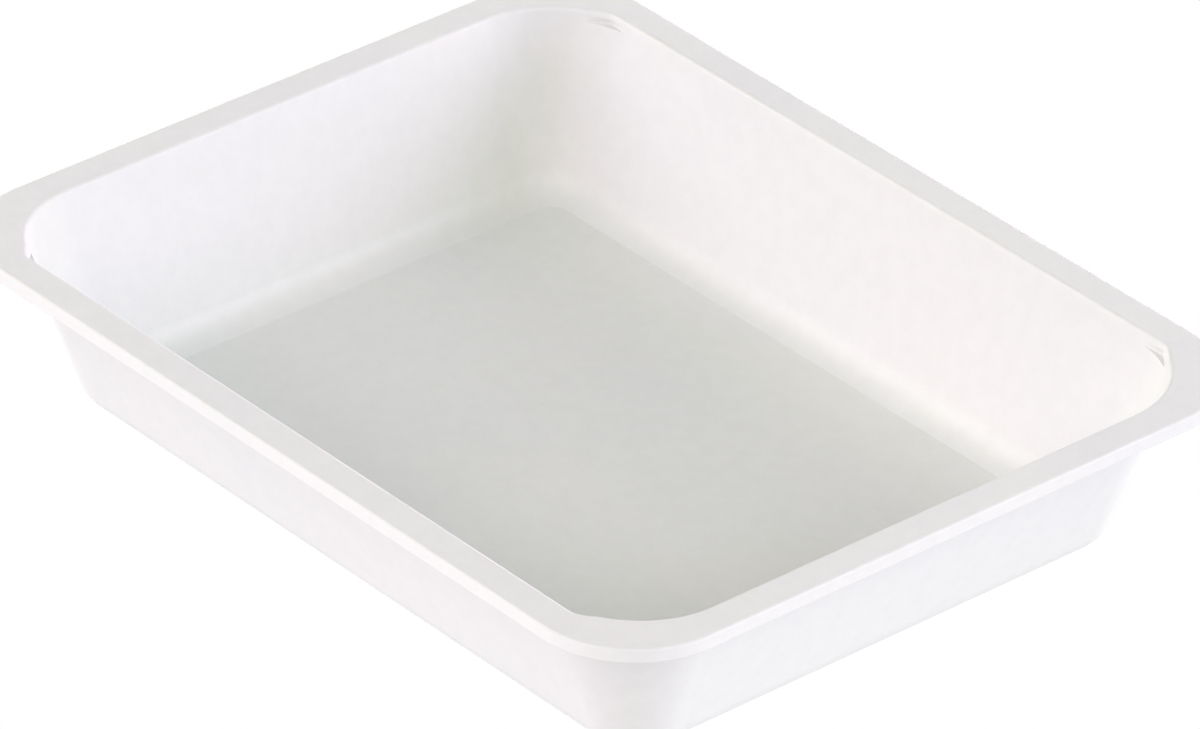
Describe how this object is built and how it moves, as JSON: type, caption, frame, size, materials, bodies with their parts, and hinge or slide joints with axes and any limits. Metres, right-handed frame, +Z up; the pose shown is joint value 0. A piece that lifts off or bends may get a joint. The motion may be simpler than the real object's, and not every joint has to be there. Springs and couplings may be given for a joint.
{
  "type": "paint roller tray",
  "caption": "Rectangular white plastic paint tray with a flat floor, coved drafted walls, rounded corners and a level rim with a turned-down lip.",
  "frame": {"origin": "centre of the tray's underside, on the surface it stands on", "axes": "+X along the long side, +Y along the short side, +Z up out of the open mouth"},
  "size_m": [0.35, 0.276, 0.0655],
  "materials": {
    "tray_plastic": "white moulded polymer, satin gloss"
  },
  "bodies": {
    "root": {"pan": "tray_plastic", "rim_flange": "tray_plastic", "rim_lip": "tray_plastic", "denest_ledge_front_left": "tray_plastic", "denest_ledge_front_right": "tray_plastic", "denest_ledge_back_left": "tray_plastic", "denest_ledge_back_right": "tray_plastic"}
  },
  "joints": []
}
